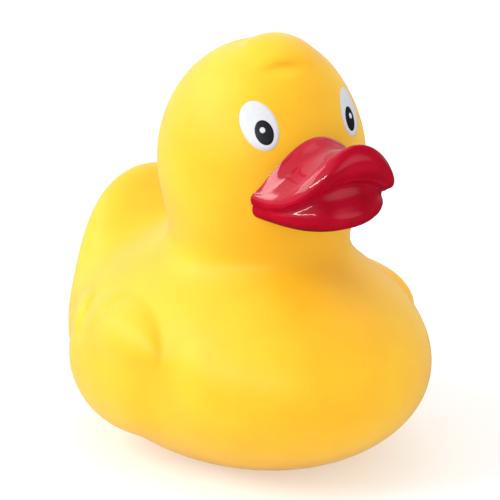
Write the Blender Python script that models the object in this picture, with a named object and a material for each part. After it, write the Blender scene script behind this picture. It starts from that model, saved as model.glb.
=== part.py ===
"""A bath duck moulded in one piece from soft vinyl: a hollow skin of even wall,
with a painted bill and printed eyes, and an air hole under its flat base.

Metres, +Z up. The bill points to -Y and the duck's left is +X. The origin is the
middle of the flat base.
"""

import math
from typing import NamedTuple

import bmesh
import bpy
from mathutils import Matrix, Vector

MM = 0.001

# Wall, base and air hole
WALL = 2.0 * MM
BASE_EDGE_ROUND = 1.5 * MM
AIR_HOLE_DIAMETER = 3.0 * MM
AIR_HOLE_Y = 9.0 * MM
AIR_HOLE_SIDES = 24

# Torso: an egg lying down, cut off flat at the base
TORSO_Y = -1.6 * MM
TORSO_Z = 20.0 * MM
TORSO_HALF_WIDTH = 33.5 * MM
TORSO_TO_BREAST = 43.7 * MM
TORSO_TO_RUMP = 40.7 * MM
TORSO_TO_BACK = 23.3 * MM
TORSO_BELOW_BASE = 3.0 * MM

# Head, standing on the torso's back
HEAD_AHEAD = 6.2 * MM
HEAD_ABOVE_BACK = 16.3 * MM
HEAD_HALF_WIDTH = 20.4 * MM
HEAD_TO_FACE = 19.8 * MM
HEAD_TO_NAPE = 22.1 * MM
HEAD_TO_CROWN = 24.0 * MM
HEAD_TO_CHIN = 22.3 * MM
NECK_BLEND = 18.5 * MM
HEAD_Y = TORSO_Y - HEAD_AHEAD
HEAD_Z = TORSO_Z + TORSO_TO_BACK + HEAD_ABOVE_BACK

# Tail, rooted inside the rump and leaning back
TAIL_INSIDE_RUMP = 12.7 * MM
TAIL_ABOVE_TORSO = 5.6 * MM
TAIL_HALF_WIDTH = 19.9 * MM
TAIL_HALF_THICKNESS = 10.7 * MM
TAIL_HALF_LENGTH = 25.2 * MM
TAIL_LEAN = 23.6
TAIL_BLEND = 15.7 * MM
TAIL_Y = TORSO_Y + TORSO_TO_RUMP - TAIL_INSIDE_RUMP
TAIL_Z = TORSO_Z + TAIL_ABOVE_TORSO

# Bill: its root is inside the head
BILL_BELOW_HEAD = 2.1 * MM
BILL_SUNK = 1.6 * MM
BILL_HALF_WIDTH = 13.1 * MM
BILL_ROOT = 9.5 * MM
BILL_ROOT_INSET = 0.8 * MM
BILL_ROWS_PER_LINE = 2
BILL_STATIONS = 26
BILL_Z = HEAD_Z - BILL_BELOW_HEAD

# Eyes: printed ovals, raised by the thickness of the print
EYE_TURN = 36.1
EYE_LIFT = 32.3
EYE_TILT = 27.4
EYE_HALF_HEIGHT = 5.1 * MM
EYE_HALF_WIDTH = 3.4 * MM
PUPIL_HALF_HEIGHT = 2.6 * MM
PUPIL_HALF_WIDTH = 1.85 * MM
PUPIL_DROP = 1.6 * MM
PUPIL_INWARD = 0.25 * MM
PUPIL_UPRIGHT = 7.0
PRINT_HEIGHT = 0.2 * MM
PRINT_ROOT = 1.0 * MM
PRINT_STEPS = 32
PRINT_SETTLING_STEPS = 5
HEIGHT_LAYER = "height"

# Wing: the softness of its edge and of the crease round it
WING_EDGE_ROUND = 2.2 * MM
WING_SEAM_ROUND = 0.5 * MM
# Half width of a feather's edge, so great that the edge goes straight through the duck
FEATHER_THROUGH = 1000.0 * MM

# What the small lobes are placed from
FLANK = (-TORSO_HALF_WIDTH, TORSO_Y, TORSO_Z)
FACE = (0.0, HEAD_Y - HEAD_TO_FACE + BILL_SUNK, BILL_Z)
CROWN = (0.0, HEAD_Y, HEAD_Z + HEAD_TO_CROWN)

# Meshing: cell size of each surface, and the share of its triangles that is kept
SKIN_CELL = 0.8 * MM
HOLLOW_CELL = 1.6 * MM
SKIN_SHARE = 0.075
HOLLOW_SHARE = 0.08
SKIN_SETTLING_STEPS = 2
FIELD_ROOM = 6.0 * MM
# Share of an egg's size, at its centre, where its depth stays level
EGG_HEART = 0.05


class Lobe(NamedTuple):
    """A small egg in the skin: its centre from a named point, turn in degrees, half sizes.

    Lengths are millimetres, and blend is how softly it runs into its neighbour.
    """

    centre: tuple
    turn: tuple
    half: tuple
    blend: float


class Oval(NamedTuple):
    """A printed oval: half sizes, how far it is below and inward of the eye's middle,
    and how many degrees more upright than the eye it stands.
    """

    half_height: float
    half_width: float
    drop: float = 0.0
    inward: float = 0.0
    upright: float = 0.0


class Feather(NamedTuple):
    """A patch of wing whose skin swells out, in millimetres along Y and up from the flank.

    Its edge is an oval round the middle, with its own size each way. Inside it the skin
    rises to a hill round the crest, which runs out to nothing over the reach.
    """

    middle: tuple
    front: float
    rear: float
    up: float
    down: float
    crest: tuple
    reach: tuple
    rise: float


# The wing, from the flank
WING_BULGE = Lobe((7.3, 0.8, -0.8), (-8.4, 0.0, 0.0), (8.6, 20.2, 13.0), 3.0)
FEATHERS = (
    Feather((3.0, 4.5), 19.5, 9.2, 10.6, 13.0, (-7.0, 9.5), (21.0, 9.0), 1.9),
    Feather((3.0, 4.5), 19.5, 9.2, 10.6, 13.0, (6.0, 10.6), (9.0, 7.4), 1.3),
    Feather((15.0, 2.5), 4.8, 8.2, 9.2, 10.0, (15.0, 8.4), (9.5, 7.5), 1.6),
)
# Softly sunken patch in front of the wing, from the flank
UNDER_WING = Lobe((-1.3, -20.5, -3.6), (15.0, 0.0, 0.0), (4.4, 8.0, 11.0), 7.0)
# Swelling round the bill, from the face
BILL_SEAT = Lobe((0.0, 6.4, -0.2), (0.0, 0.0, 0.0), (12.6, 7.0, 9.2), 3.0)
# Forehead swelling and the two locks of the tuft, from the crown
TUFT = (
    Lobe((0.0, -4.9, -12.0), (0.0, 0.0, 0.0), (12.4, 9.9, 12.4), 5.0),
    Lobe((-0.3, -5.6, -3.0), (15.0, 0.0, 0.0), (7.0, 7.0, 4.6), 2.6),
    Lobe((3.2, -7.8, -2.8), (20.0, 12.0, -14.0), (2.6, 5.0, 2.6), 1.0),
)
# Notch below the tuft, from the crown
TUFT_NOTCH = Lobe((-1.9, -14.6, -3.3), (14.0, 0.0, -26.0), (6.6, 3.0, 0.9), 2.0)


class BillLine(NamedTuple):
    """One line run round the bill from corner to corner, in millimetres.

    In the middle it stands front_reach out of the face at front_rise above the bill's
    height, and at each corner side_reach and side_rise, inset from the bill's half
    width; a higher square makes its plan blunter.
    """

    front_reach: float
    front_rise: float
    inset: float
    side_reach: float
    side_rise: float
    square: float


# From the brow down to the throat
BILL_LINES = (
    BillLine(-6.0, 8.6, 2.7, -7.5, 0.2, 2.0),
    BillLine(-0.4, 10.6, 1.0, -4.4, 0.8, 2.2),
    BillLine(5.0, 9.0, 0.5, -3.2, 0.6, 2.6),
    BillLine(10.2, 10.1, 0.3, -2.4, 0.4, 3.0),
    BillLine(12.6, 11.7, 0.1, -2.0, 0.1, 3.0),
    BillLine(13.7, 11.0, 0.0, -1.8, -0.2, 3.0),
    BillLine(14.5, 9.1, 0.0, -1.8, -0.5, 3.0),
    BillLine(14.0, 7.0, 0.0, -1.8, -0.8, 3.0),
    BillLine(12.4, 5.3, 0.1, -1.8, -1.2, 2.9),
    BillLine(11.9, 4.5, 0.2, -1.8, -1.5, 2.8),
    BillLine(10.8, 3.6, 0.4, -1.8, -1.8, 2.7),
    BillLine(11.0, 1.6, 0.4, -1.8, -2.2, 2.5),
    BillLine(12.2, -0.5, 0.4, -1.9, -2.7, 2.4),
    BillLine(12.9, -2.2, 0.5, -2.0, -3.2, 2.2),
    BillLine(12.4, -3.8, 0.8, -2.3, -3.8, 2.1),
    BillLine(10.2, -5.3, 1.4, -3.0, -4.3, 2.0),
    BillLine(3.0, -7.2, 2.4, -4.8, -4.6, 2.0),
    BillLine(-7.5, -7.0, 3.8, -7.5, -3.8, 2.0),
)


class Field:
    """Numbers worked out at each point of space by the maths nodes of a tree."""

    def __init__(self, tree):
        self.tree = tree
        self.place = tree.nodes.new("GeometryNodeInputPosition").outputs[0]
        x, y, z = self.split(self.place)
        self.height = z
        self.right_half = self.join(self.number("MULTIPLY", self.number("ABSOLUTE", x), -1.0), y, z)

    def plug(self, socket, value):
        if isinstance(value, bpy.types.NodeSocket):
            self.tree.links.new(value, socket)
        else:
            socket.default_value = value

    def node(self, kind, values, operation=None):
        node = self.tree.nodes.new(kind)
        if operation:
            node.operation = operation
        for socket, value in zip(node.inputs, values):
            self.plug(socket, value)
        return node

    def number(self, operation, *values):
        return self.node("ShaderNodeMath", values, operation).outputs[0]

    def vector(self, operation, *values):
        return self.node("ShaderNodeVectorMath", values, operation).outputs["Vector"]

    def length(self, vector):
        return self.node("ShaderNodeVectorMath", (vector,), "LENGTH").outputs["Value"]

    def split(self, vector):
        return self.node("ShaderNodeSeparateXYZ", (vector,)).outputs

    def join(self, x, y, z):
        return self.node("ShaderNodeCombineXYZ", (x, y, z)).outputs[0]

    def turned_back(self, vector, turn):
        node = self.tree.nodes.new("ShaderNodeVectorRotate")
        node.rotation_type = "EULER_XYZ"
        node.invert = True
        self.plug(node.inputs["Vector"], vector)
        node.inputs["Rotation"].default_value = [math.radians(angle) for angle in turn]
        return node.outputs[0]

    def two_sided(self, coordinate, below, above):
        """One size where the coordinate is negative, another where it is positive."""
        is_below = self.number("LESS_THAN", coordinate, 0.0)
        return self.number("MULTIPLY_ADD", is_below, below - above, above)

    def egg(self, place, centre, half_width, front, rear, up, down, turn=(0.0, 0.0, 0.0)):
        """Distance to an egg with its own length each way from its centre."""
        local = self.turned_back(self.vector("SUBTRACT", place, centre), turn)
        _, y, z = self.split(local)
        size = self.join(half_width, self.two_sided(y, front, rear), self.two_sided(z, down, up))
        unit = self.vector("DIVIDE", local, size)
        reach = self.number("MAXIMUM", self.length(unit), EGG_HEART)
        slope = self.length(self.vector("DIVIDE", unit, size))
        slope = self.number("MAXIMUM", slope, EGG_HEART / half_width)
        outside = self.number("MULTIPLY", reach, self.number("SUBTRACT", reach, 1.0))
        return self.number("DIVIDE", outside, slope)

    def lobe(self, place, start, lobe):
        """Distance to a lobe whose centre is measured from the point start."""
        half_x, half_y, half_z = (size * MM for size in lobe.half)
        centre = [a + size * MM for a, size in zip(start, lobe.centre)]
        return self.egg(place, centre, half_x, half_y, half_y, half_z, half_z, lobe.turn)

    def add(self, shape, other, blend):
        return self.number("SMOOTH_MIN", shape, other, blend)

    def cut(self, shape, other, blend):
        return self.number("SMOOTH_MAX", shape, self.number("MULTIPLY", other, -1.0), blend)


def duck_distance(field):
    """Distance from each point to the duck's outer skin, bill apart."""
    torso = field.egg(
        field.place, (0.0, TORSO_Y, TORSO_Z), TORSO_HALF_WIDTH,
        TORSO_TO_BREAST, TORSO_TO_RUMP, TORSO_TO_BACK, TORSO_Z + TORSO_BELOW_BASE,
    )
    tail = field.egg(
        field.place, (0.0, TAIL_Y, TAIL_Z), TAIL_HALF_WIDTH,
        TAIL_HALF_THICKNESS, TAIL_HALF_THICKNESS, TAIL_HALF_LENGTH, TAIL_HALF_LENGTH,
        (-TAIL_LEAN, 0.0, 0.0),
    )
    head = field.egg(
        field.place, (0.0, HEAD_Y, HEAD_Z), HEAD_HALF_WIDTH,
        HEAD_TO_FACE, HEAD_TO_NAPE, HEAD_TO_CROWN, HEAD_TO_CHIN,
    )
    skin = field.add(torso, tail, TAIL_BLEND)
    skin = field.add(skin, head, NECK_BLEND)
    bulge = field.lobe(field.right_half, FLANK, WING_BULGE)
    skin = field.add(skin, bulge, WING_BULGE.blend * MM)
    hollow = field.lobe(field.right_half, FLANK, UNDER_WING)
    skin = field.cut(skin, hollow, UNDER_WING.blend * MM)
    bare = skin
    for feather in FEATHERS:
        skin = field.add(skin, feather_distance(field, bare, feather), WING_SEAM_ROUND)
    for start, lobe in ((FACE, BILL_SEAT), *((CROWN, lock) for lock in TUFT)):
        skin = field.add(skin, field.lobe(field.place, start, lobe), lobe.blend * MM)
    notch = field.lobe(field.place, CROWN, TUFT_NOTCH)
    skin = field.cut(skin, notch, TUFT_NOTCH.blend * MM)
    return field.cut(skin, field.height, BASE_EDGE_ROUND)


def feather_distance(field, bare, feather):
    """Distance to the skin raised inside a feather's edge."""
    _, flank_y, flank_z = FLANK
    middle_y, middle_z = (size * MM for size in feather.middle)
    centre = (0.0, flank_y + middle_y, flank_z + middle_z)
    sizes = (size * MM for size in (feather.front, feather.rear, feather.up, feather.down))
    edge = field.egg(field.place, centre, FEATHER_THROUGH, *sizes)
    _, y, z = field.split(field.place)
    crest_y, crest_z = (size * MM for size in feather.crest)
    reach_y, reach_z = (size * MM for size in feather.reach)
    along = field.number("DIVIDE", field.number("SUBTRACT", y, flank_y + crest_y), reach_y)
    high = field.number("DIVIDE", field.number("SUBTRACT", z, flank_z + crest_z), reach_z)
    away = field.number("MULTIPLY_ADD", high, high, field.number("MULTIPLY", along, along))
    hill = field.number("POWER", field.number("MAXIMUM", field.number("SUBTRACT", 1.0, away), 0.0), 2.0)
    rise = field.number("MULTIPLY_ADD", hill, feather.rise * MM, -WING_SEAM_ROUND)
    return field.number("SMOOTH_MAX", field.number("SUBTRACT", bare, rise), edge, WING_EDGE_ROUND)


def field_box():
    """Lowest and highest corner of the space that holds the whole skin."""
    bulge_reach = TORSO_HALF_WIDTH + (WING_BULGE.half[0] - WING_BULGE.centre[0]) * MM
    most_rise = max(feather.rise for feather in FEATHERS) * MM
    reach_x = max(bulge_reach, TORSO_HALF_WIDTH, HEAD_HALF_WIDTH, TAIL_HALF_WIDTH) + most_rise
    front = max(TORSO_TO_BREAST - TORSO_Y, HEAD_TO_FACE - HEAD_Y)
    rear = max(TORSO_TO_RUMP + TORSO_Y, HEAD_TO_NAPE + HEAD_Y, TAIL_Y + TAIL_HALF_LENGTH)
    top = HEAD_Z + HEAD_TO_CROWN
    room = Vector((FIELD_ROOM, FIELD_ROOM, FIELD_ROOM))
    return Vector((-reach_x, -front, 0.0)) - room, Vector((reach_x, rear, top)) + room


def skin_tree(finish):
    """Geometry nodes that mesh the skin, moved inwards by the input Inset."""
    tree = bpy.data.node_groups.new("skin_surface", "GeometryNodeTree")
    tree.interface.new_socket("Geometry", in_out="OUTPUT", socket_type="NodeSocketGeometry")
    tree.interface.new_socket("Inset", in_out="INPUT", socket_type="NodeSocketFloat")
    tree.interface.new_socket("Cell", in_out="INPUT", socket_type="NodeSocketFloat")
    inset, cell, _ = tree.nodes.new("NodeGroupInput").outputs
    field = Field(tree)
    depth = field.number("MULTIPLY", field.number("ADD", duck_distance(field), inset), -1.0)

    low, high = field_box()
    volume = tree.nodes.new("GeometryNodeVolumeCube")
    field.plug(volume.inputs["Density"], depth)
    volume.inputs["Background"].default_value = -1.0
    volume.inputs["Min"].default_value = low
    volume.inputs["Max"].default_value = high
    for name, size in zip("XYZ", high - low):
        field.plug(volume.inputs[f"Resolution {name}"], field.number("DIVIDE", size, cell))
    surface = tree.nodes.new("GeometryNodeVolumeToMesh")
    surface.inputs["Threshold"].default_value = 0.0
    field.plug(surface.inputs["Volume"], volume.outputs[0])
    coloured = tree.nodes.new("GeometryNodeSetMaterial")
    coloured.inputs["Material"].default_value = finish
    normal = tree.nodes.new("GeometryNodeInputNormal").outputs[0]
    settled = settle(field, surface.outputs[0], normal, depth, SKIN_SETTLING_STEPS)
    field.plug(coloured.inputs["Geometry"], settled)
    smooth = field.node("GeometryNodeSetShadeSmooth", (coloured.outputs[0],))
    field.plug(tree.nodes.new("NodeGroupOutput").inputs[0], smooth.outputs[0])
    return tree


def moved(field, geometry, direction, distance):
    """Move each point along a direction, as far as the distance read where it stands."""
    node = field.tree.nodes.new("GeometryNodeSetPosition")
    step = field.node("ShaderNodeVectorMath", (direction,), "SCALE")
    field.plug(step.inputs["Scale"], distance)
    field.plug(node.inputs["Geometry"], geometry)
    field.plug(node.inputs["Offset"], step.outputs[0])
    return node.outputs[0]


def settle(field, geometry, direction, depth, steps):
    """Move each point along a direction until it lies on the surface."""
    for _ in range(steps):
        geometry = moved(field, geometry, direction, depth)
    return geometry


def skin(name, tree, inset, cell, share, finish):
    """An object whose surface lies the inset below the duck's skin."""
    duck = new_object(name, bpy.data.meshes.new(name), finish)
    nodes = duck.modifiers.new("Surface", "NODES")
    nodes.node_group = tree
    sockets = {item.name: item.identifier for item in tree.interface.items_tree}
    nodes[sockets["Inset"]] = inset
    nodes[sockets["Cell"]] = cell
    thin = duck.modifiers.new("Thin out", "DECIMATE")
    thin.ratio = share
    thin.use_collapse_triangulate = True
    return duck


def bill_point(line, angle):
    """The point of a line at a sweep angle, 0 in the middle and 90 at the corners."""
    side = math.sin(angle)
    ahead = max(math.cos(angle), 0.0)
    power = 2.0 / line.square
    across = math.copysign(abs(side) ** power, side)
    x = across * (BILL_HALF_WIDTH - line.inset * MM)
    reach = line.side_reach + (line.front_reach - line.side_reach) * ahead ** power
    rise = line.front_rise + (line.side_rise - line.front_rise) * across * across
    return Vector(FACE) + Vector((x, -reach * MM, rise * MM))


def spline_point(before, start, end, after, t):
    """A point on a smooth curve from start to end."""
    return 0.5 * (
        2.0 * start
        + (end - before) * t
        + (2.0 * before - 5.0 * start + 4.0 * end - after) * t * t
        + (3.0 * start - before - 3.0 * end + after) * t ** 3
    )


def bill_profile(angle):
    """The bill's section at a sweep angle, from the brow down to the throat."""
    points = [bill_point(line, angle) for line in BILL_LINES]
    smooth = []
    for index in range(len(points) - 1):
        before = points[max(index - 1, 0)]
        after = points[min(index + 2, len(points) - 1)]
        for step in range(BILL_ROWS_PER_LINE):
            t = step / BILL_ROWS_PER_LINE
            smooth.append(spline_point(before, points[index], points[index + 1], after, t))
    return smooth + [points[-1]]


def bill_root(profile):
    """A corner's section moved inside the head."""
    root = []
    for point in profile:
        across = point.x - math.copysign(BILL_ROOT_INSET, point.x)
        root.append(Vector((across, FACE[1] + BILL_ROOT, point.z)))
    return root


def bill(finish):
    """The solid bill, with its root inside the head."""
    half_turn = math.pi / 2.0
    angles = [half_turn * (2.0 * index / BILL_STATIONS - 1.0) for index in range(BILL_STATIONS + 1)]
    profiles = [bill_profile(angle) for angle in angles]
    profiles = [bill_root(profiles[0]), *profiles, bill_root(profiles[-1])]
    shape = bmesh.new()
    rows = [[shape.verts.new(point) for point in profile] for profile in profiles]
    for left, right in zip(rows, rows[1:]):
        count = len(left)
        for index in range(count):
            following = (index + 1) % count
            shape.faces.new((left[index], right[index], right[following], left[following]))
    shape.faces.new(rows[0])
    shape.faces.new(list(reversed(rows[-1])))
    bmesh.ops.recalc_face_normals(shape, faces=shape.faces[:])
    bmesh.ops.triangulate(shape, faces=[face for face in shape.faces if len(face.verts) > 4])
    return mesh_object("bill", shape, finish)


def eye_frame(side):
    """Place and axes of an eye on the head: outwards, up and towards the bill."""
    turn, lift = math.radians(EYE_TURN), math.radians(EYE_LIFT)
    ray = Vector(
        (side * math.sin(turn) * math.cos(lift), -math.cos(turn) * math.cos(lift), math.sin(lift))
    )
    size = Vector((HEAD_HALF_WIDTH, HEAD_TO_FACE, HEAD_TO_CROWN))
    place = ray / Vector([a / b for a, b in zip(ray, size)]).length
    outward = Vector([a / (b * b) for a, b in zip(place, size)]).normalized()
    inward = Vector((0.0, 0.0, 1.0)).cross(outward).normalized() * -side
    up = (outward.cross(inward) * side).normalized()
    if up.z < 0.0:
        up.negate()
    tilt = math.radians(EYE_TILT)
    long_axis = up * math.cos(tilt) - inward * math.sin(tilt)
    short_axis = inward * math.cos(tilt) + up * math.sin(tilt)
    return place, outward, long_axis, short_axis


def print_tree(name, outward):
    """Geometry nodes that lay a plug's rings on the skin and lift each to its height."""
    tree = bpy.data.node_groups.new(name, "GeometryNodeTree")
    tree.interface.new_socket("Geometry", in_out="OUTPUT", socket_type="NodeSocketGeometry")
    tree.interface.new_socket("Geometry", in_out="INPUT", socket_type="NodeSocketGeometry")
    field = Field(tree)
    depth = field.number("MULTIPLY", duck_distance(field), -1.0)
    flat = tree.nodes.new("NodeGroupInput").outputs[0]
    laid = settle(field, flat, outward, depth, PRINT_SETTLING_STEPS)
    height = tree.nodes.new("GeometryNodeInputNamedAttribute")
    height.data_type = "FLOAT"
    height.inputs["Name"].default_value = HEIGHT_LAYER
    raised = moved(field, laid, outward, height.outputs[0])
    field.plug(tree.nodes.new("NodeGroupOutput").inputs[0], raised)
    return tree


def print_spot(name, side, oval, height, finish):
    """An oval of print: a thin plug that follows the skin's curve."""
    place, outward, long_axis, short_axis = eye_frame(side)
    middle = Vector((0.0, HEAD_Y, HEAD_Z)) + place - long_axis * oval.drop + short_axis * oval.inward
    lean = math.radians(oval.upright)
    upright_axis = long_axis * math.cos(lean) + short_axis * math.sin(lean)
    level_axis = short_axis * math.cos(lean) - long_axis * math.sin(lean)
    shape = bmesh.new()
    heights = shape.verts.layers.float.new(HEIGHT_LAYER)

    def point(share, angle, lift):
        up, across = oval.half_height * math.cos(angle), oval.half_width * math.sin(angle)
        flat = upright_axis * up + level_axis * across
        vertex = shape.verts.new(middle + flat * share + outward * lift)
        vertex[heights] = lift
        return vertex

    angles = [math.tau * index / PRINT_STEPS for index in range(PRINT_STEPS)]
    tip = point(0.0, 0.0, height)
    inner, outer = ([point(share, angle, height) for angle in angles] for share in (0.5, 1.0))
    root = [point(1.0, angle, -PRINT_ROOT) for angle in angles]
    for index in range(PRINT_STEPS):
        following = (index + 1) % PRINT_STEPS
        shape.faces.new((tip, inner[index], inner[following]))
        for low, high in ((outer, inner), (root, outer)):
            shape.faces.new((low[index], low[following], high[following], high[index]))
    shape.faces.new(list(reversed(root)))
    bmesh.ops.recalc_face_normals(shape, faces=shape.faces[:])
    spot = mesh_object(name, shape, finish)
    spot.modifiers.new("Lay on skin", "NODES").node_group = print_tree(name, outward)
    return spot


def air_hole(finish):
    """The cutter for the hole through the base."""
    shape = bmesh.new()
    length = 4.0 * WALL
    bmesh.ops.create_cone(
        shape, cap_ends=True, segments=AIR_HOLE_SIDES,
        radius1=AIR_HOLE_DIAMETER / 2.0, radius2=AIR_HOLE_DIAMETER / 2.0, depth=length,
        matrix=Matrix.Translation((0.0, AIR_HOLE_Y, WALL / 2.0)),
    )
    return mesh_object("air_hole", shape, finish)


def material(name, colour, roughness):
    """A Principled material; a colour is linear red, green and blue."""
    finish = bpy.data.materials.new(name)
    finish.use_nodes = True
    shader = finish.node_tree.nodes["Principled BSDF"]
    shader.inputs["Base Color"].default_value = (*colour, 1.0)
    shader.inputs["Roughness"].default_value = roughness
    shader.inputs["Metallic"].default_value = 0.0
    return finish


def new_object(name, mesh, finish):
    thing = bpy.data.objects.new(name, mesh)
    bpy.context.scene.collection.objects.link(thing)
    mesh.materials.append(finish)
    return thing


def mesh_object(name, shape, finish):
    mesh = bpy.data.meshes.new(name)
    shape.to_mesh(mesh)
    shape.free()
    mesh.shade_smooth()
    return new_object(name, mesh, finish)


def combine(duck, other, operation):
    """Join the other object to the duck, or cut it away, and hide it."""
    step = duck.modifiers.new(other.name, "BOOLEAN")
    step.operation = operation
    step.object = other
    step.solver = "EXACT"
    step.material_mode = "TRANSFER"
    other.hide_render = True
    other.display_type = "WIRE"


def build():
    """Model the duck."""
    for thing in list(bpy.data.objects):
        bpy.data.objects.remove(thing, do_unlink=True)
    vinyl = material("yellow_vinyl", (0.96, 0.66, 0.02), 0.42)
    red = material("bill_paint", (0.60, 0.0, 0.02), 0.12)
    white = material("eye_white", (0.88, 0.89, 0.93), 0.35)
    black = material("eye_black", (0.01, 0.012, 0.016), 0.35)

    tree = skin_tree(vinyl)
    duck = skin("duck", tree, 0.0, SKIN_CELL, SKIN_SHARE, vinyl)
    hollow = skin("hollow", tree, WALL, HOLLOW_CELL, HOLLOW_SHARE, vinyl)
    combine(duck, bill(red), "UNION")
    eye = Oval(EYE_HALF_HEIGHT, EYE_HALF_WIDTH)
    pupil = Oval(PUPIL_HALF_HEIGHT, PUPIL_HALF_WIDTH, PUPIL_DROP, PUPIL_INWARD, PUPIL_UPRIGHT)
    for side, hand in ((-1, "right"), (1, "left")):
        combine(duck, print_spot(f"{hand}_eye", side, eye, PRINT_HEIGHT, white), "UNION")
        combine(duck, print_spot(f"{hand}_pupil", side, pupil, 2.0 * PRINT_HEIGHT, black), "UNION")
    combine(duck, hollow, "DIFFERENCE")
    combine(duck, air_hole(vinyl), "DIFFERENCE")


build()
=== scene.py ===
"""Looks of a bath duck moulded in one piece from soft vinyl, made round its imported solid.

The skin, the bill's paint and the eyes' print are one moulding. They are separate pieces
here because each has its own finish. Metres, +Z up, bill towards -Y; sizes in the classes
are millimetres.
"""

import logging
import math
from dataclasses import dataclass
from enum import Enum

import bmesh
import bpy
from bpy.types import ID, Material, Node, NodeSocket, NodeTree, Object, World
from mathutils import Matrix, Vector


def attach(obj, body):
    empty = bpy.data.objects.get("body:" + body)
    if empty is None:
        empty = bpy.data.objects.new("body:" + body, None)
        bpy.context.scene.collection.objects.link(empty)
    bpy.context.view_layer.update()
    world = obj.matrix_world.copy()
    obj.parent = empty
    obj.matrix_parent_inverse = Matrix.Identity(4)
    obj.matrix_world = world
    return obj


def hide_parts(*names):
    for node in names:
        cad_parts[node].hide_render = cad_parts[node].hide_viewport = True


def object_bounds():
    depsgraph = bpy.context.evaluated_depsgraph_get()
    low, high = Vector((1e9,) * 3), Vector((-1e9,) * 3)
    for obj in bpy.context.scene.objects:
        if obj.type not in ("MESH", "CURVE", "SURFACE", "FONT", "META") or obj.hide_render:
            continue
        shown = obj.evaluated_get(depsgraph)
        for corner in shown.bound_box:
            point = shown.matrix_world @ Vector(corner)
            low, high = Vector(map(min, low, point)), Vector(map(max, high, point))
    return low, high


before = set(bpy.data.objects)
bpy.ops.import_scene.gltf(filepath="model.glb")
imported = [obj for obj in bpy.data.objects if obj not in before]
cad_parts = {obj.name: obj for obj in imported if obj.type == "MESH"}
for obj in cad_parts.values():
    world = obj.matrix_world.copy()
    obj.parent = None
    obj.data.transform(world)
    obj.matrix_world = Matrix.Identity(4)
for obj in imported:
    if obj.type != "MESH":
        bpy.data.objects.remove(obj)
CAD_BOX = [list(corner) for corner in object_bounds()]
MM = 0.001
BODY = "root"
CAD_NODE = "duck"
Point = tuple[float, float, float]
Range = tuple[float, float]
log = logging.getLogger("duck")


class Slot(Enum):
    """The record's material slots."""

    VINYL = "yellow_vinyl"
    BILL = "bill_paint"
    WHITE = "eye_white"
    BLACK = "eye_black"


class Side(Enum):
    """The duck's own left and right, as the sign of X."""

    LEFT = 1.0
    RIGHT = -1.0


@dataclass(frozen=True)
class Egg:
    """An egg with its own length each way from its centre."""

    centre: Point
    half_width: float
    front: float
    rear: float
    up: float
    down: float
    turn: Point = (0.0, 0.0, 0.0)


@dataclass(frozen=True)
class Lobe:
    """A small even egg: its centre from a named point, turn in degrees, half sizes, blend."""

    centre: Point
    turn: Point
    half: Point
    blend: float

    def at(self, start: Point) -> Egg:
        """The lobe as an egg, with its centre measured from the point start."""
        across, along, high = self.half
        centre = tuple(a + b for a, b in zip(start, self.centre))
        return Egg(centre, across, along, along, high, high, self.turn)


@dataclass(frozen=True)
class Feather:
    """A patch of wing whose skin swells out, sized along Y and up from the flank.

    Its edge is an oval round the middle, with its own size each way. Inside it the skin
    rises to a hill round the crest, which runs out to nothing over the reach.
    """

    middle: tuple[float, float]
    front: float
    rear: float
    up: float
    down: float
    crest: tuple[float, float]
    reach: tuple[float, float]
    rise: float


class Nodes:
    """Adds nodes to one tree.

    Args:
        tree: the node tree that gets the nodes.
    """

    def __init__(self, tree: NodeTree) -> None:
        self.tree = tree

    def plug(self, socket: NodeSocket, value: object) -> None:
        """Link a socket, or set its own value."""
        if isinstance(value, NodeSocket):
            self.tree.links.new(value, socket)
        else:
            socket.default_value = value

    def node(self, kind: str, *values: object, **settings: object) -> Node:
        """A new node with its settings, and its first inputs plugged in order."""
        node = self.tree.nodes.new(kind)
        for name, value in settings.items():
            setattr(node, name, value)
        for socket, value in zip(node.inputs, values):
            self.plug(socket, value)
        return node

    def number(self, operation: str, *values: object) -> NodeSocket:
        """The result of a Math node."""
        return self.node("ShaderNodeMath", *values, operation=operation).outputs[0]


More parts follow.
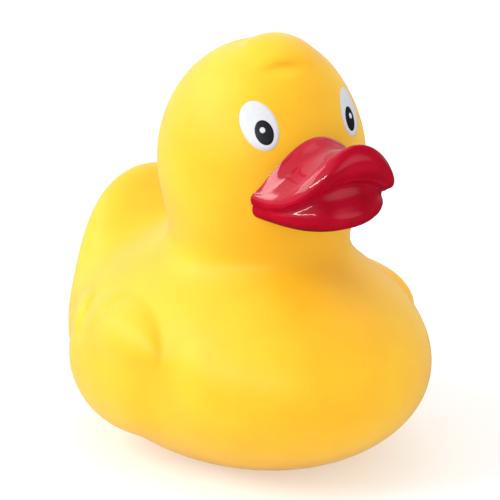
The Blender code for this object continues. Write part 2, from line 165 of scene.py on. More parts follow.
class Sums(Nodes):
    """Numbers worked out at each point of space by the nodes of one tree.

    Args:
        tree: the node tree that gets the nodes.
    """

    # Near an egg's centre sizes stop shrinking here, so that nothing is divided by nought.
    heart = 0.05

    def __init__(self, tree: NodeTree) -> None:
        super().__init__(tree)
        position = tree.nodes.new("GeometryNodeInputPosition").outputs[0]
        self.place = self.scaled(position, 1.0 / MM)
        self.x, self.y, self.z = self.split(self.place)
        mirrored = self.number("MULTIPLY", self.number("ABSOLUTE", self.x), -1.0)
        self.right_half = self.join(mirrored, self.y, self.z)

    def vector(self, operation: str, *values: object) -> NodeSocket:
        """The result of a Vector Math node that gives a vector."""
        return self.node("ShaderNodeVectorMath", *values, operation=operation).outputs["Vector"]

    def length(self, vector: NodeSocket) -> NodeSocket:
        """A vector's length."""
        return self.node("ShaderNodeVectorMath", vector, operation="LENGTH").outputs["Value"]

    def scaled(self, vector: object, factor: object) -> NodeSocket:
        """A vector or a fixed direction times a number."""
        node = self.node("ShaderNodeVectorMath", vector, operation="SCALE")
        self.plug(node.inputs["Scale"], factor)
        return node.outputs["Vector"]

    def split(self, vector: NodeSocket) -> tuple[NodeSocket, NodeSocket, NodeSocket]:
        """A vector's X, Y and Z."""
        return tuple(self.node("ShaderNodeSeparateXYZ", vector).outputs)

    def join(self, x: object, y: object, z: object) -> NodeSocket:
        """A vector from X, Y and Z."""
        return self.node("ShaderNodeCombineXYZ", x, y, z).outputs[0]

    def moved(self, geometry: NodeSocket, offset: NodeSocket) -> NodeSocket:
        """The geometry with each point moved by its own offset."""
        node = self.node("GeometryNodeSetPosition", geometry)
        self.plug(node.inputs["Offset"], offset)
        return node.outputs[0]

    def two_sided(self, coordinate: NodeSocket, below: float, above: float) -> NodeSocket:
        """One size where the coordinate is negative, another where it is positive."""
        is_below = self.number("LESS_THAN", coordinate, 0.0)
        return self.number("MULTIPLY_ADD", is_below, below - above, above)

    def egg(self, egg: Egg, place: NodeSocket | None = None) -> NodeSocket:
        """Distance to an egg.

        Args:
            egg: its sizes.
            place: the point to measure from, or None for each point itself.

        Returns:
            The distance in millimetres, negative inside.
        """
        local = self.vector("SUBTRACT", place or self.place, egg.centre)
        if any(egg.turn):
            turned = self.node("ShaderNodeVectorRotate", local, rotation_type="EULER_XYZ")
            turned.invert = True
            turned.inputs["Rotation"].default_value = [math.radians(angle) for angle in egg.turn]
            local = turned.outputs[0]
        _, y, z = self.split(local)
        along, high = self.two_sided(y, egg.front, egg.rear), self.two_sided(z, egg.down, egg.up)
        size = self.join(egg.half_width, along, high)
        unit = self.vector("DIVIDE", local, size)
        reach = self.number("MAXIMUM", self.length(unit), self.heart)
        slope = self.length(self.vector("DIVIDE", unit, size))
        slope = self.number("MAXIMUM", slope, self.heart / egg.half_width)
        outside = self.number("MULTIPLY", reach, self.number("SUBTRACT", reach, 1.0))
        return self.number("DIVIDE", outside, slope)

    def add(self, shape: NodeSocket, other: NodeSocket, blend: object) -> NodeSocket:
        """Two shapes joined with a fillet of the blend's size."""
        return self.number("SMOOTH_MIN", shape, other, blend)

    def cut(self, shape: NodeSocket, other: NodeSocket, blend: object) -> NodeSocket:
        """The other shape cut away, with an edge rounded by the blend."""
        return self.number("SMOOTH_MAX", shape, self.number("MULTIPLY", other, -1.0), blend)


@dataclass
class Form:
    """The outer form of the moulding, bill apart, as a distance from every point."""

    torso: Egg = Egg((0.0, -1.6, 20.0), 33.5, 43.7, 40.7, 23.3, 23.0)
    head: Egg = Egg((0.0, -7.8, 59.6), 20.4, 19.8, 22.1, 24.0, 22.3)
    tail: Egg = Egg((0.0, 26.4, 25.6), 19.9, 10.7, 10.7, 25.2, 25.2, (-23.6, 0.0, 0.0))
    neck_blend: float = 18.5
    tail_blend: float = 15.7
    base_round: float = 1.5
    bill_drop: float = 2.1
    bill_sunk: float = 1.6
    wing_bulge: Lobe = Lobe((7.3, 0.8, -0.8), (-8.4, 0.0, 0.0), (8.6, 20.2, 13.0), 3.0)
    feathers: tuple[Feather, ...] = (
        Feather((3.0, 4.5), 19.5, 9.2, 10.6, 13.0, (-7.0, 9.5), (21.0, 9.0), 1.9),
        Feather((3.0, 4.5), 19.5, 9.2, 10.6, 13.0, (6.0, 10.6), (9.0, 7.4), 1.3),
        Feather((15.0, 2.5), 4.8, 8.2, 9.2, 10.0, (15.0, 8.4), (9.5, 7.5), 1.6),
    )
    feather_through: float = 1000.0
    wing_edge_round: float = 2.2
    wing_seam_round: float = 0.5
    under_wing: Lobe = Lobe((-1.3, -20.5, -3.6), (15.0, 0.0, 0.0), (4.4, 8.0, 11.0), 7.0)
    bill_seat: Lobe = Lobe((0.0, 6.4, -0.2), (0.0, 0.0, 0.0), (12.6, 7.0, 9.2), 3.0)
    tuft: tuple[Lobe, ...] = (
        Lobe((0.0, -4.9, -12.0), (0.0, 0.0, 0.0), (12.4, 9.9, 12.4), 5.0),
        Lobe((-0.3, -5.6, -3.0), (15.0, 0.0, 0.0), (7.0, 7.0, 4.6), 2.6),
        Lobe((3.2, -7.8, -2.8), (20.0, 12.0, -14.0), (2.6, 5.0, 2.6), 1.0),
    )
    tuft_notch: Lobe = Lobe((-1.9, -14.6, -3.3), (14.0, 0.0, -26.0), (6.6, 3.0, 0.9), 2.0)

    @property
    def flank(self) -> Point:
        """The torso's widest point on the right."""
        x, y, z = self.torso.centre
        return (x - self.torso.half_width, y, z)

    @property
    def face(self) -> Point:
        """The point at the bill's height that it is placed from, a little inside the face."""
        x, y, z = self.head.centre
        return (x, y - self.head.front + self.bill_sunk, z - self.bill_drop)

    @property
    def crown(self) -> Point:
        """The top of the head."""
        x, y, z = self.head.centre
        return (x, y, z + self.head.up)

    def feather(self, sums: Sums, bare: NodeSocket, feather: Feather) -> NodeSocket:
        """Distance to the skin raised inside a feather's edge.

        Args:
            sums: the tree's numbers.
            bare: the distance to the skin with no feathers.
            feather: the feather's sizes.

        Returns:
            The distance in millimetres.
        """
        _, flank_y, flank_z = self.flank
        centre = (0.0, flank_y + feather.middle[0], flank_z + feather.middle[1])
        sizes = (feather.front, feather.rear, feather.up, feather.down)
        oval = Egg(centre, self.feather_through, *sizes)
        from_crest = (
            sums.number("SUBTRACT", sums.y, flank_y + feather.crest[0]),
            sums.number("SUBTRACT", sums.z, flank_z + feather.crest[1]),
        )
        along, high = (sums.number("DIVIDE", a, b) for a, b in zip(from_crest, feather.reach))
        away = sums.number("MULTIPLY_ADD", high, high, sums.number("MULTIPLY", along, along))
        inside = sums.number("MAXIMUM", sums.number("SUBTRACT", 1.0, away), 0.0)
        hill = sums.number("MULTIPLY", inside, inside)
        rise = sums.number("MULTIPLY_ADD", hill, feather.rise, -self.wing_seam_round)
        raised = sums.number("SUBTRACT", bare, rise)
        return sums.number("SMOOTH_MAX", raised, sums.egg(oval), self.wing_edge_round)

    def distance(self, sums: Sums) -> NodeSocket:
        """Distance from each point to the outer skin.

        Args:
            sums: the tree's numbers.

        Returns:
            The distance in millimetres, negative inside.
        """
        skin = sums.add(sums.egg(self.torso), sums.egg(self.tail), self.tail_blend)
        skin = sums.add(skin, sums.egg(self.head), self.neck_blend)
        bulge = sums.egg(self.wing_bulge.at(self.flank), sums.right_half)
        skin = sums.add(skin, bulge, self.wing_bulge.blend)
        hollow = sums.egg(self.under_wing.at(self.flank), sums.right_half)
        skin = sums.cut(skin, hollow, self.under_wing.blend)
        bare = skin
        for feather in self.feathers:
            skin = sums.add(skin, self.feather(sums, bare, feather), self.wing_seam_round)
        skin = sums.add(skin, sums.egg(self.bill_seat.at(self.face)), self.bill_seat.blend)
        for lobe in self.tuft:
            skin = sums.add(skin, sums.egg(lobe.at(self.crown)), lobe.blend)
        skin = sums.cut(skin, sums.egg(self.tuft_notch.at(self.crown)), self.tuft_notch.blend)
        return sums.cut(skin, sums.z, self.base_round)


def new_tree(name: str, sizes: dict[str, float]) -> tuple[NodeTree, dict[str, NodeSocket]]:
    """A geometry tree with one named number input for each size.

    Args:
        name: the tree's name.
        sizes: the inputs' names and values.

    Returns:
        The tree, and the group input's sockets by name.
    """
    tree = bpy.data.node_groups.new(name, "GeometryNodeTree")
    tree.interface.new_socket("Geometry", in_out="OUTPUT", socket_type="NodeSocketGeometry")
    for size in sizes:
        tree.interface.new_socket(size, in_out="INPUT", socket_type="NodeSocketFloat")
    outputs = tree.nodes.new("NodeGroupInput").outputs
    return tree, {size: outputs[size] for size in sizes}


def end_tree(sums: Sums, geometry: NodeSocket, finish: Material) -> None:
    """Realize, dress and smooth the geometry, and make it the tree's output.

    Args:
        sums: the tree's numbers.
        geometry: the geometry.
        finish: its material.
    """
    real = sums.node("GeometryNodeRealizeInstances", geometry).outputs[0]
    dressed = sums.node("GeometryNodeSetMaterial", real)
    dressed.inputs["Material"].default_value = finish
    smooth = sums.node("GeometryNodeSetShadeSmooth", dressed.outputs[0]).outputs[0]
    sums.plug(sums.tree.nodes.new("NodeGroupOutput").inputs[0], smooth)


def grown(name: str, tree: NodeTree, sizes: dict[str, float]) -> Object:
    """Evaluate a tree once and keep its result as a plain mesh object.

    Args:
        name: the object's name.
        tree: the geometry tree.
        sizes: a value for each of its inputs.

    Returns:
        The object, with no modifier left on it.
    """
    piece = new_piece(name, bpy.data.meshes.new(f"{name}_start"))
    modifier = piece.modifiers.new("Grow", "NODES")
    modifier.node_group = tree
    sockets = {item.name: item.identifier for item in tree.interface.items_tree}
    for size, value in sizes.items():
        modifier[sockets[size]] = value
    bpy.context.view_layer.update()
    evaluated = piece.evaluated_get(bpy.context.evaluated_depsgraph_get())
    mesh = bpy.data.meshes.new_from_object(evaluated)
    mesh.name = name
    piece.modifiers.remove(modifier)
    piece.data = mesh
    return piece


def new_piece(name: str, data: ID) -> Object:
    """An object linked to the scene at the origin.

    Args:
        name: its name.
        data: its mesh, lamp or camera.

    Returns:
        The object.
    """
    piece = bpy.data.objects.new(name, data)
    bpy.context.scene.collection.objects.link(piece)
    return piece


@dataclass(frozen=True)
class Ripple:
    """A fine unevenness: its grain and depth in millimetres, and its strength."""

    grain: float
    depth: float
    strength: float


class Shading(Nodes):
    """A Principled material under construction.

    Args:
        name: the material's name.
    """

    def __init__(self, name: str) -> None:
        self.material = bpy.data.materials.new(name)
        self.material.use_nodes = True
        super().__init__(self.material.node_tree)
        self.shader = self.tree.nodes["Principled BSDF"]
        self.place = self.tree.nodes.new("ShaderNodeTexCoord").outputs["Object"]

    def set(self, **values: object) -> None:
        """Set or link the shader's inputs; an underscore in a name stands for a space."""
        for name, value in values.items():
            self.plug(self.shader.inputs[name.replace("_", " ")], value)

    def noise(self, grain: float, detail: float = 2.0) -> NodeSocket:
        """Noise over the object.

        Args:
            grain: about how many millimetres across its spots are.
            detail: how many finer layers it has.

        Returns:
            The noise, from 0 to 1.
        """
        node = self.node("ShaderNodeTexNoise", self.place)
        node.inputs["Scale"].default_value = 1.0 / (grain * MM)
        node.inputs["Detail"].default_value = detail
        return node.outputs["Fac"]

    def ramp(self, value: NodeSocket, limits: Range, first: Point, last: Point) -> NodeSocket:
        """A colour between two.

        Args:
            value: what the colour follows.
            limits: the values where it starts and stops changing.
            first: the colour below them.
            last: the colour above them.

        Returns:
            The colour.
        """
        node = self.node("ShaderNodeValToRGB", value)
        for end, position, colour in zip(node.color_ramp.elements, limits, (first, last)):
            end.position, end.color = position, (*colour, 1.0)
        return node.outputs["Color"]

    def span(self, value: NodeSocket, limits: Range, ends: Range) -> NodeSocket:
        """The value between the limits mapped to run from one end to the other."""
        return self.node("ShaderNodeMapRange", value, *limits, *ends).outputs["Result"]

    def bump(self, ripple: Ripple, under: NodeSocket | None = None) -> NodeSocket:
        """A bump of noise.

        Args:
            ripple: its sizes.
            under: the normal that it is laid over, or None for the bare surface.

        Returns:
            The normal.
        """
        node = self.tree.nodes.new("ShaderNodeBump")
        node.inputs["Distance"].default_value = ripple.depth * MM
        node.inputs["Strength"].default_value = ripple.strength
        self.plug(node.inputs["Height"], self.noise(ripple.grain))
        if under:
            self.plug(node.inputs["Normal"], under)
        return node.outputs["Normal"]


@dataclass(frozen=True)
class VinylFinish:
    """Soft satin vinyl, a little translucent, with a faint moulded grain."""

    deep: Point = (0.95, 0.49, 0.004)
    light: Point = (0.97, 0.54, 0.008)
    cloud_grain: float = 14.0
    cloud_detail: float = 3.0
    cloud_limits: Range = (0.35, 0.65)
    roughness: Range = (0.40, 0.50)
    gloss_grain: float = 3.0
    gloss_limits: Range = (0.3, 0.7)
    waves: Ripple = Ripple(5.0, 0.05, 0.25)
    grain: Ripple = Ripple(0.35, 0.012, 0.25)

    def build(self) -> Material:
        """The material."""
        shading = Shading("yellow_vinyl")
        cloud = shading.noise(self.cloud_grain, self.cloud_detail)
        gloss = shading.noise(self.gloss_grain)
        shading.set(
            Base_Color=shading.ramp(cloud, self.cloud_limits, self.deep, self.light),
            Roughness=shading.span(gloss, self.gloss_limits, self.roughness),
            Normal=shading.bump(self.grain, shading.bump(self.waves)),
            Subsurface_Weight=0.35,
            Subsurface_Radius=(1.0, 0.45, 0.08),
            Subsurface_Scale=2.2 * MM,
            Specular_IOR_Level=0.26,
            Sheen_Weight=0.24,
            Sheen_Roughness=0.5,
            IOR=1.5,
        )
        return shading.material


@dataclass(frozen=True)
class PaintFinish:
    """Thick glossy crimson paint on the bill."""

    deep: Point = (0.38, 0.000, 0.012)
    light: Point = (0.47, 0.001, 0.022)
    cloud_grain: float = 6.0
    cloud_detail: float = 3.0
    cloud_limits: Range = (0.35, 0.65)
    waves: Ripple = Ripple(2.2, 0.03, 0.25)

    def build(self) -> Material:
        """The material."""
        shading = Shading("bill_paint")
        cloud = shading.noise(self.cloud_grain, self.cloud_detail)
        waves = shading.bump(self.waves)
        shading.set(
            Base_Color=shading.ramp(cloud, self.cloud_limits, self.deep, self.light),
            Normal=waves,
            Coat_Normal=waves,
            Roughness=0.34,
            Specular_IOR_Level=0.05,
            Coat_Weight=0.60,
            Coat_Roughness=0.08,
            Coat_IOR=1.5,
            Subsurface_Weight=0.08,
            Subsurface_Radius=(1.0, 0.1, 0.1),
            Subsurface_Scale=1.0 * MM,
        )
        return shading.material


@dataclass(frozen=True)
class PrintFinish:
    """Smooth pad-printed ink."""

    name: str
    deep: Point
    light: Point
    cloud_grain: float = 0.5
    cloud_limits: Range = (0.3, 0.7)
    roughness: Range = (0.28, 0.36)
    gloss_grain: float = 0.8
    gloss_limits: Range = (0.3, 0.7)
    grain: Ripple = Ripple(0.25, 0.004, 0.2)
    specular: float = 0.25

    def build(self) -> Material:
        """The material."""
        shading = Shading(self.name)
        cloud, gloss = shading.noise(self.cloud_grain), shading.noise(self.gloss_grain)
        shading.set(
            Base_Color=shading.ramp(cloud, self.cloud_limits, self.deep, self.light),
            Roughness=shading.span(gloss, self.gloss_limits, self.roughness),
            Normal=shading.bump(self.grain),
            Specular_IOR_Level=self.specular,
        )
        return shading.material


@dataclass
class Skin:
    """The vinyl moulding: outer skin, even wall and the air hole under the base."""

    form: Form
    finish: VinylFinish = VinylFinish()
    cell: float = 1.1
    hollow_cell: float = 2.2
    wall: float = 2.0
    air_hole: float = 3.0
    air_hole_y: float = 9.0
    air_hole_sides: int = 48
    cutter_walls: float = 4.0
    margin: float = 4.0
    settling: int = 3

    def surface(self, sums: Sums, cell: NodeSocket, inset: object, fine: bool) -> NodeSocket:
        """The closed surface that lies the inset below the skin.

        Args:
            sums: the tree's numbers.
            cell: the size of the grid that finds the surface.
            inset: how far below the skin it lies.
            fine: whether each face is split in four before it settles on the surface.

        Returns:
            The surface's geometry.
        """
        depth = sums.number("MULTIPLY", sums.number("ADD", self.form.distance(sums), inset), -1.0)
        low, high = (Vector(corner) for corner in CAD_BOX)
        margin = Vector((self.margin, self.margin, self.margin)) * MM
        low, high = low - margin, high + margin
        volume = sums.node("GeometryNodeVolumeCube", depth)
        volume.inputs["Background"].default_value = -1.0
        volume.inputs["Min"].default_value = low
        volume.inputs["Max"].default_value = high
        for name, size in zip("XYZ", high - low):
            steps = sums.number("DIVIDE", size / MM, cell)
            sums.plug(volume.inputs[f"Resolution {name}"], steps)
        made = sums.node("GeometryNodeVolumeToMesh", volume.outputs[0])
        made.inputs["Threshold"].default_value = 0.0
        surface = made.outputs[0]
        if fine:
            surface = sums.node("GeometryNodeSubdivideMesh", surface, 1).outputs[0]
        normal = sums.tree.nodes.new("GeometryNodeInputNormal").outputs[0]
        step = sums.scaled(normal, sums.number("MULTIPLY", depth, MM))
        for _ in range(self.settling):
            surface = sums.moved(surface, step)
        return surface

    def hole(self, sums: Sums, wall: NodeSocket, width: NodeSocket) -> NodeSocket:
        """The cutter for the air hole, through the wall of the base.

        Args:
            sums: the tree's numbers.
            wall: the wall's thickness.
            width: the hole's diameter.

        Returns:
            The cutter's geometry.
        """
        cutter = sums.node("GeometryNodeMeshCylinder", self.air_hole_sides)
        sums.plug(cutter.inputs["Radius"], sums.number("MULTIPLY", width, MM / 2.0))
        sums.plug(cutter.inputs["Depth"], sums.number("MULTIPLY", wall, self.cutter_walls * MM))
        placed = sums.node("GeometryNodeTransform", cutter.outputs["Mesh"])
        middle = sums.number("MULTIPLY", wall, MM / 2.0)
        sums.plug(placed.inputs["Translation"], sums.join(0.0, self.air_hole_y * MM, middle))
        return placed.outputs[0]

    def build(self) -> Object:
        """The hollow moulding as one plain mesh, kept out of the bill's reflections."""
        sizes = {
            "Cell": self.cell,
            "Hollow cell": self.hollow_cell,
            "Wall": self.wall,
            "Air hole": self.air_hole,
        }
        tree, inputs = new_tree("vinyl_skin", sizes)
        sums = Sums(tree)
        outer = self.surface(sums, inputs["Cell"], 0.0, True)
        hollow = self.surface(sums, inputs["Hollow cell"], inputs["Wall"], False)
        hole = self.hole(sums, inputs["Wall"], inputs["Air hole"])
        cut = sums.node("GeometryNodeMeshBoolean", outer, operation="DIFFERENCE", solver="EXACT")
        for cutter in (hollow, hole):
            tree.links.new(cutter, cut.inputs["Mesh 2"])
        end_tree(sums, cut.outputs[0], self.finish.build())
        skin = grown("vinyl_skin", tree, sizes)
        skin.visible_glossy = False
        return skin


@dataclass(frozen=True)
class BillLine:
    """One line run round the bill from corner to corner.

    In the middle it stands front_reach out of the face at front_rise above the bill's
    height, and at each corner side_reach and side_rise, inset from the bill's half
    width; a higher square makes its plan blunter.
    """

    front_reach: float
    front_rise: float
    inset: float
    side_reach: float
    side_rise: float
    square: float


@dataclass
class Bill:
    """The broad bill: an upturned upper lip, a mouth groove and a fuller lower lip."""

    face: Point
    finish: PaintFinish = PaintFinish()
    half_width: float = 13.1
    root: float = 9.5
    root_inset: float = 0.8
    rows_per_line: int = 7
    stations: int = 132
    lines: tuple[BillLine, ...] = (
        BillLine(-6.0, 8.6, 2.7, -7.5, 0.2, 2.0),
        BillLine(-0.4, 10.6, 1.0, -4.4, 0.8, 2.2),
        BillLine(5.0, 9.0, 0.5, -3.2, 0.6, 2.6),
        BillLine(10.2, 10.1, 0.3, -2.4, 0.4, 3.0),
        BillLine(12.6, 11.7, 0.1, -2.0, 0.1, 3.0),
        BillLine(13.7, 11.0, 0.0, -1.8, -0.2, 3.0),
        BillLine(14.5, 9.1, 0.0, -1.8, -0.5, 3.0),
        BillLine(14.0, 7.0, 0.0, -1.8, -0.8, 3.0),
        BillLine(12.4, 5.3, 0.1, -1.8, -1.2, 2.9),
        BillLine(11.9, 4.5, 0.2, -1.8, -1.5, 2.8),
        BillLine(10.8, 3.6, 0.4, -1.8, -1.8, 2.7),
        BillLine(11.0, 1.6, 0.4, -1.8, -2.2, 2.5),
        BillLine(12.2, -0.5, 0.4, -1.9, -2.7, 2.4),
        BillLine(12.9, -2.2, 0.5, -2.0, -3.2, 2.2),
        BillLine(12.4, -3.8, 0.8, -2.3, -3.8, 2.1),
        BillLine(10.2, -5.3, 1.4, -3.0, -4.3, 2.0),
        BillLine(3.0, -7.2, 2.4, -4.8, -4.6, 2.0),
        BillLine(-7.5, -7.0, 3.8, -7.5, -3.8, 2.0),
    )

    def point(self, line: BillLine, angle: float) -> Vector:
        """A point of a line.

        Args:
            line: the line.
            angle: the sweep angle, 0 in the middle and a quarter turn at the corners.

        Returns:
            The point in millimetres.
        """
        side, ahead = math.sin(angle), max(math.cos(angle), 0.0)
        power = 2.0 / line.square
        across = math.copysign(abs(side) ** power, side)
        x = across * (self.half_width - line.inset)
        reach = line.side_reach + (line.front_reach - line.side_reach) * ahead ** power
        rise = line.front_rise + (line.side_rise - line.front_rise) * across * across
        return Vector(self.face) + Vector((x, -reach, rise))

    def profile(self, angle: float) -> list[Vector]:
        """The bill's section, from the brow down to the throat.

        Args:
            angle: the sweep angle.

        Returns:
            The section's points in millimetres.
        """
        points = [self.point(line, angle) for line in self.lines]
        points = [points[0], *points, points[-1]]
        smooth = []
        for before, start, end, after in zip(points, points[1:], points[2:], points[3:]):
            for step in range(self.rows_per_line):
                smooth.append(spline_point(before, start, end, after, step / self.rows_per_line))
        return [*smooth, points[-1]]

    def rooted(self, profile: list[Vector]) -> list[Vector]:
        """A corner's section moved inside the head."""
        y = self.face[1] + self.root
        return [Vector((p.x - math.copysign(self.root_inset, p.x), y, p.z)) for p in profile]

    def build(self) -> Object:
        """The bill as one closed mesh, with its root inside the head."""
        quarter = math.pi / 2.0
        angles = [quarter * (2.0 * i / self.stations - 1.0) for i in range(self.stations + 1)]
        profiles = [self.profile(angle) for angle in angles]
        profiles = [self.rooted(profiles[0]), *profiles, self.rooted(profiles[-1])]
        shape = bmesh.new()
        rows = [[shape.verts.new(point * MM) for point in profile] for profile in profiles]
        for left, right in zip(rows, rows[1:]):
            for index, corner in enumerate(left):
                after = (index + 1) % len(left)
                shape.faces.new((corner, right[index], right[after], left[after]))
        shape.faces.new(rows[0])
        shape.faces.new(reversed(rows[-1]))
        bmesh.ops.recalc_face_normals(shape, faces=shape.faces[:])
        return plain_piece("bill", shape, self.finish.build())


def spline_point(before: Vector, start: Vector, end: Vector, after: Vector, t: float) -> Vector:
    """A point on a smooth curve from start to end.

    Args:
        before: the point before the start, which sets the curve's direction there.
        start: where the curve starts.
        end: where it ends.
        after: the point after the end.
        t: how far along the curve the point is, from 0 to 1.

    Returns:
        The point.
    """
    return 0.5 * (
        2.0 * start
        + (end - before) * t
        + (2.0 * before - 5.0 * start + 4.0 * end - after) * t * t
        + (3.0 * start - before - 3.0 * end + after) * t ** 3
    )


def plain_piece(name: str, shape: bmesh.types.BMesh, finish: Material) -> Object:
    """A smooth-shaded piece from a bmesh, which is freed.

    Args:
        name: the piece's name.
        shape: its bmesh.
        finish: its material.

    Returns:
        The piece.
    """
    mesh = bpy.data.meshes.new(name)
    shape.to_mesh(mesh)
    shape.free()
    mesh.shade_smooth()
    mesh.materials.append(finish)
    return new_piece(name, mesh)


@dataclass(frozen=True)
class Spot:
    """An oval of print on an eye: sizes, and its middle from the eye's middle.

    It stands upright degrees more upright than the eye.
    """

    name: str
    half_height: float
    half_width: float
    drop: float
    inward: float
    height: float
    upright: float = 0.0


@dataclass
class Eyes:
    """The printed eyes: a white oval, a black pupil and a white glint on each side."""

    form: Form
    turn: float = 36.1
    lift: float = 32.3
    tilt: float = 27.4
    white: Spot = Spot("white", 5.1, 3.4, 0.0, 0.0, 0.05)
    pupil: Spot = Spot("pupil", 2.6, 1.85, 1.6, 0.25, 0.10, 7.0)
    glint: Spot = Spot("glint", 0.62, 0.58, 1.05, 0.15, 0.15)
    white_ink: PrintFinish = PrintFinish("eye_white", (0.65, 0.66, 0.70), (0.69, 0.70, 0.74))
    black_ink: PrintFinish = PrintFinish(
        "eye_black", (0.008, 0.010, 0.014), (0.016, 0.018, 0.024), specular=0.12
    )
    sunk: float = 0.4
    rim_steps: int = 96
    rings: int = 8
    rim_sharpness: float = 12.0
    rim_height: float = 0.02
    settling: int = 6
    level_name: str = "height"

    def axes(self, side: Side) -> tuple[Vector, Vector, Vector, Vector]:
        """Where an eye is and how it stands.

        Args:
            side: which eye.

        Returns:
            Its middle on the head, and the directions out of, along and across it.
        """
        turn, lift, tilt = (math.radians(angle) for angle in (self.turn, self.lift, self.tilt))
        flat = Vector((side.value * math.sin(turn), -math.cos(turn), 0.0)) * math.cos(lift)
        ray = flat + Vector((0.0, 0.0, math.sin(lift)))
        size = Vector((self.form.head.half_width, self.form.head.front, self.form.head.up))
        place = ray / Vector([a / b for a, b in zip(ray, size)]).length
        out = Vector([a / (b * b) for a, b in zip(place, size)]).normalized()
        inward = Vector((0.0, 0.0, 1.0)).cross(out).normalized() * -side.value
        up = out.cross(inward) * side.value
        if up.z < 0.0:
            up.negate()
        along = up * math.cos(tilt) - inward * math.sin(tilt)
        across = inward * math.cos(tilt) + up * math.sin(tilt)
        return Vector(self.form.head.centre) + place, out, along, across

    def print_spot(self, spot: Spot, side: Side, finish: Material) -> Object:
        """One oval as a thin closed film that follows the skin.

        Args:
            spot: its sizes and place on the eye.
            side: which eye it is on.
            finish: its material.

        Returns:
            The film as one plain mesh.
        """
        middle, out, along, across = self.axes(side)
        middle = middle - along * spot.drop + across * spot.inward
        lean = math.radians(spot.upright)
        along, across = (
            along * math.cos(lean) + across * math.sin(lean),
            across * math.cos(lean) - along * math.sin(lean),
        )
        sizes = {
            "Half height": spot.half_height,
            "Half width": spot.half_width,
            "Height": spot.height,
            "Sunk": self.sunk,
        }
        name = f"eye_{spot.name}_{side.name.lower()}"
        tree, inputs = new_tree(name, sizes)
        sums = Sums(tree)
        disc = sums.node("GeometryNodeMeshCylinder", self.rim_steps, 1, self.rings, 1.0, 2.0)
        u, v, w = sums.split(tree.nodes.new("GeometryNodeInputPosition").outputs[0])
        up = sums.scaled(along, sums.number("MULTIPLY", u, inputs["Half height"]))
        inwards = sums.scaled(across, sums.number("MULTIPLY", v, inputs["Half width"]))
        flat = sums.vector("ADD", middle, sums.vector("ADD", up, inwards))
        kept = sums.node("GeometryNodeStoreNamedAttribute", disc.outputs["Mesh"])
        kept.data_type, kept.domain = "FLOAT", "POINT"
        kept.inputs["Name"].default_value = self.level_name
        sums.plug(kept.inputs["Value"], self.level(sums, inputs, u, v, w))
        placed = sums.node("GeometryNodeSetPosition", kept.outputs[0])
        sums.plug(placed.inputs["Position"], sums.scaled(flat, MM))
        film = self.laid(sums, placed.outputs[0], out)
        end_tree(sums, film, finish)
        return grown(name, tree, sizes)

    def level(
        self, sums: Sums, inputs: dict[str, NodeSocket], u: NodeSocket, v: NodeSocket, w: NodeSocket
    ) -> NodeSocket:
        """How high above the skin each point of the film lies.

        Args:
            sums: the tree's numbers.
            inputs: the tree's inputs by name.
            u: the point's place along a round disc of radius 1.
            v: its place across the disc.
            w: its place through the disc, positive on the top.

        Returns:
            The height in millimetres, which falls off at the top's rim.
        """
        radius = sums.length(sums.join(u, v, 0.0))
        fall = sums.number("SUBTRACT", 1.0, sums.number("POWER", radius, self.rim_sharpness))
        level = sums.number("SQRT", sums.number("MAXIMUM", fall, self.rim_height))
        top = sums.number("MULTIPLY", inputs["Height"], level)
        is_top = sums.number("GREATER_THAN", w, 0.0)
        under = sums.number("MULTIPLY", inputs["Sunk"], -1.0)
        return sums.number("MULTIPLY_ADD", is_top, sums.number("SUBTRACT", top, under), under)

    def laid(self, sums: Sums, film: NodeSocket, out: Vector) -> NodeSocket:
        """The film settled on the skin and then raised to its stored heights.

        Args:
            sums: the tree's numbers.
            film: the flat film's geometry.
            out: the direction out of the head at the eye.

        Returns:
            The film's geometry.
        """
        depth = sums.number("MULTIPLY", self.form.distance(sums), -MM)
        for _ in range(self.settling):
            film = sums.moved(film, sums.scaled(out, depth))
        height = sums.node("GeometryNodeInputNamedAttribute", self.level_name, data_type="FLOAT")
        lift = sums.number("MULTIPLY", height.outputs[0], MM)
        return sums.moved(film, sums.scaled(out, lift))

    def build(self) -> dict[Slot, list[Object]]:
        """Both eyes.

        Returns:
            All their ovals, by their material slot.
        """
        white, black = self.white_ink.build(), self.black_ink.build()
        made: dict[Slot, list[Object]] = {Slot.WHITE: [], Slot.BLACK: []}
        for side in Side:
            made[Slot.WHITE].append(self.print_spot(self.white, side, white))
            made[Slot.BLACK].append(self.print_spot(self.pupil, side, black))
            made[Slot.WHITE].append(self.print_spot(self.glint, side, white))
        return made


@dataclass(frozen=True)
class Softbox:
    """A soft lamp that faces the duck: its place, size in metres and power in watts.

    A lamp that is only_shine gives highlights and no other light.
    """

    name: str
    place: Point
    size: tuple[float, float]
    power: float
    only_shine: bool = False


class Sky(Nodes):
    """Strengths of light worked out for each direction by the world's nodes.

    Args:
        tree: the world's node tree.
    """

    def __init__(self, tree: NodeTree) -> None:
        super().__init__(tree)
        self.way = tree.nodes.new("ShaderNodeTexCoord").outputs["Generated"]
        self.path = tree.nodes.new("ShaderNodeLightPath")

    def towards(self, side: Point) -> NodeSocket:
        """How far each direction points to a side, from -1 to 1."""
        node = self.node("ShaderNodeVectorMath", self.way, side, operation="DOT_PRODUCT")
        return node.outputs["Value"]

    def fade(self, value: NodeSocket, limits: Range, first: float, last: float) -> NodeSocket:
        """A strength that goes softly from first to last as the value crosses the limits."""
        node = self.node("ShaderNodeMapRange", value, *limits, first, last)
        node.interpolation_type = "SMOOTHSTEP"
        return node.outputs["Result"]

    def choose(self, ray: str, chosen: object, other: object) -> NodeSocket:
        """A strength that depends on the kind of ray.

        Args:
            ray: the kind, as the Light Path node names it.
            chosen: the strength for rays of that kind.
            other: the strength for all others.

        Returns:
            The strength.
        """
        values = (self.path.outputs[ray], other, chosen)
        node = self.tree.nodes.new("ShaderNodeMix")
        for name, value in zip(("Factor", "A", "B"), values):
            self.plug(node.inputs[name], value)
        return node.outputs["Result"]


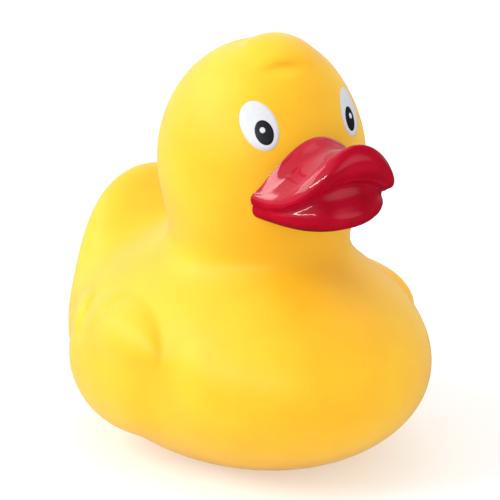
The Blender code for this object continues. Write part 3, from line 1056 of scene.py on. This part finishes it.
@dataclass
class Studio:
    """A white studio: pale floor, soft light all round and the photograph's camera.

    The camera's distance, aim, lens and sensor are in millimetres and its angles in degrees.
    The floor, the lamps and the clip are in metres.
    """

    turn: float = -33.32
    height: float = 16.95
    distance: float = 560.0
    aim_right: float = 1.67
    aim_up: float = 38.85
    lens: float = 200.8
    sensor: float = 36.0
    clip_start: float = 0.01
    ahead: Point = (0.60, -0.80, 0.0)
    ahead_range: Range = (-0.2, 0.6)
    below_range: Range = (-0.2, 0.1)
    light_behind: float = 0.90
    light_ahead: float = 1.0
    light_below: float = 0.15
    mirror_behind: float = 0.8
    mirror_ahead: float = 0.0
    mirror_below: float = 0.02
    glow: float = 1.2
    glow_side: Point = (0.37, -0.92, 0.14)
    glow_range: Range = (0.86, 1.0)
    floor_half: float = 6.0
    floor_grey: float = 0.6
    floor_glow: float = 0.40
    lamps: tuple[Softbox, ...] = (
        Softbox("key", (-0.75, 0.25, 0.62), (0.6, 0.6), 6.2),
        Softbox("top", (0.0, 0.0, 1.0), (0.7, 0.7), 1.2),
        Softbox("strip", (-0.80, -0.46, 0.45), (0.9, 0.05), 5.0, True),
        Softbox("glare", (-0.55, 0.80, 0.64), (0.45, 0.20), 2.0, True),
    )

    def camera(self) -> None:
        """The camera at the photograph's place and angle."""
        turn, height = math.radians(self.turn), math.radians(self.height)
        flat = Vector((math.sin(turn), -math.cos(turn), 0.0)) * math.cos(height)
        back = flat + Vector((0.0, 0.0, math.sin(height)))
        right = Vector((math.cos(turn), math.sin(turn), 0.0))
        aim = (right * self.aim_right + Vector((0.0, 0.0, self.aim_up))) * MM
        data = bpy.data.cameras.new("camera")
        data.lens, data.sensor_width, data.clip_start = self.lens, self.sensor, self.clip_start
        camera = new_piece("camera", data)
        camera.matrix_world = Matrix.Translation(aim + back * self.distance * MM) @ (
            Matrix((right, back.cross(right), back)).transposed().to_4x4()
        )
        bpy.context.scene.camera = camera

    def lights(self) -> None:
        """The soft lamps and the even light of the white room."""
        for lamp in self.lamps:
            data = bpy.data.lights.new(lamp.name, "AREA")
            data.shape, (data.size, data.size_y) = "RECTANGLE", lamp.size
            data.energy = lamp.power
            light = new_piece(lamp.name, data)
            light.visible_diffuse = not lamp.only_shine
            light.location = lamp.place
            aim = Vector((0.0, 0.0, self.aim_up * MM)) - Vector(lamp.place)
            light.rotation_euler = aim.to_track_quat("-Z", "Y").to_euler()
        bpy.context.scene.world = self.room()
        bpy.context.scene.view_settings.view_transform = "Standard"

    def room(self) -> World:
        """Even white light, a darker front for reflections, and a plain white backdrop."""
        world = bpy.data.worlds.new("white_room")
        world.use_nodes = True
        sky = Sky(world.node_tree)
        ahead, height = sky.towards(self.ahead), sky.towards((0.0, 0.0, 1.0))
        light = sky.fade(ahead, self.ahead_range, self.light_behind, self.light_ahead)
        below = sky.fade(height, self.below_range, self.light_below, 1.0)
        light = sky.number("MULTIPLY", light, below)
        mirror = sky.fade(ahead, self.ahead_range, self.mirror_behind, self.mirror_ahead)
        below = sky.fade(height, self.below_range, self.mirror_below, 1.0)
        glow = sky.fade(sky.towards(self.glow_side), self.glow_range, 0.0, self.glow)
        mirror = sky.number("MULTIPLY_ADD", mirror, below, glow)
        seen = sky.choose("Is Glossy Ray", mirror, light)
        background = world.node_tree.nodes["Background"].inputs
        background["Color"].default_value = (1.0, 1.0, 1.0, 1.0)
        sky.plug(background["Strength"], sky.choose("Is Camera Ray", 1.0, seen))
        return world

    def floor(self) -> None:
        """The plain pale floor, kept out of the bill's reflections."""
        shading = Shading("pale_floor")
        shading.set(
            Base_Color=(self.floor_grey, self.floor_grey, self.floor_grey, 1.0),
            Roughness=0.6,
            Specular_IOR_Level=0.2,
            Emission_Color=(1.0, 1.0, 1.0, 1.0),
            Emission_Strength=self.floor_glow,
        )
        shape = bmesh.new()
        bmesh.ops.create_grid(shape, x_segments=1, y_segments=1, size=self.floor_half)
        floor = plain_piece("floor", shape, shading.material)
        floor.visible_glossy = False

    def build(self) -> None:
        """Set the whole studio up."""
        self.camera()
        self.lights()
        self.floor()


def settle(piece: Object) -> None:
    """Make a piece part of the duck's one body and report it.

    Args:
        piece: the piece.
    """
    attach(piece, BODY)
    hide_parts(CAD_NODE)
    triangles = sum(len(face.vertices) - 2 for face in piece.data.polygons)
    log.info("%s: %d triangles", piece.name, triangles)


def main() -> None:
    """Build the duck and the studio."""
    logging.basicConfig(level=logging.INFO, format="%(message)s")
    form = Form()
    Studio().build()
    settle(Skin(form).build())
    settle(Bill(form.face).build())
    for slot, pieces in Eyes(form).build().items():
        for piece in pieces:
            settle(piece)


if __name__ == "__main__":
    main()
